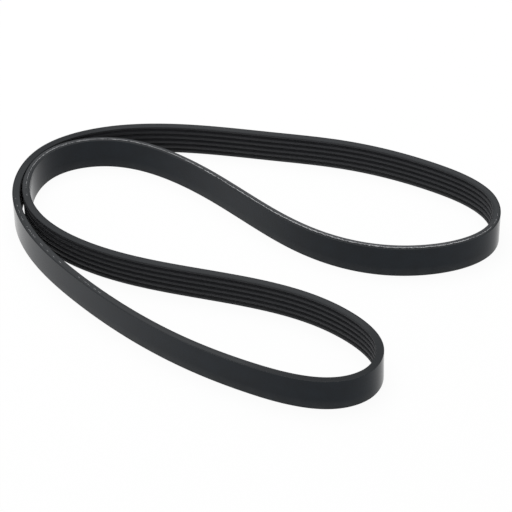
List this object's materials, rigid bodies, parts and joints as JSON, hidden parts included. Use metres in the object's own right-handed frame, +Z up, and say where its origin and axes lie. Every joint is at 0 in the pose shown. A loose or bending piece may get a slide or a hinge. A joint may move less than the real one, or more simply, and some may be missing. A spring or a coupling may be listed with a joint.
{
  "type": "multi-rib alternator belt",
  "caption": "Endless ribbed rubber drive belt standing on its slit edge in a loose folded loop, with its ribs inside and its smooth back outside.",
  "frame": {"origin": "middle of the box that holds the folded belt, at the height of its lower slit edge", "axes": "+X along the longest extent of the folded loop, towards the two lobes; +Z up, across the belt's width"},
  "size_m": [0.2874, 0.2444, 0.0186],
  "materials": {
    "belt_rubber": "charcoal EPDM rubber, smooth fabric-pressed back, ground ribs and slit edges with a line of pale cord ends"
  },
  "bodies": {
    "root": {"ribbed_belt": "belt_rubber"}
  },
  "joints": []
}
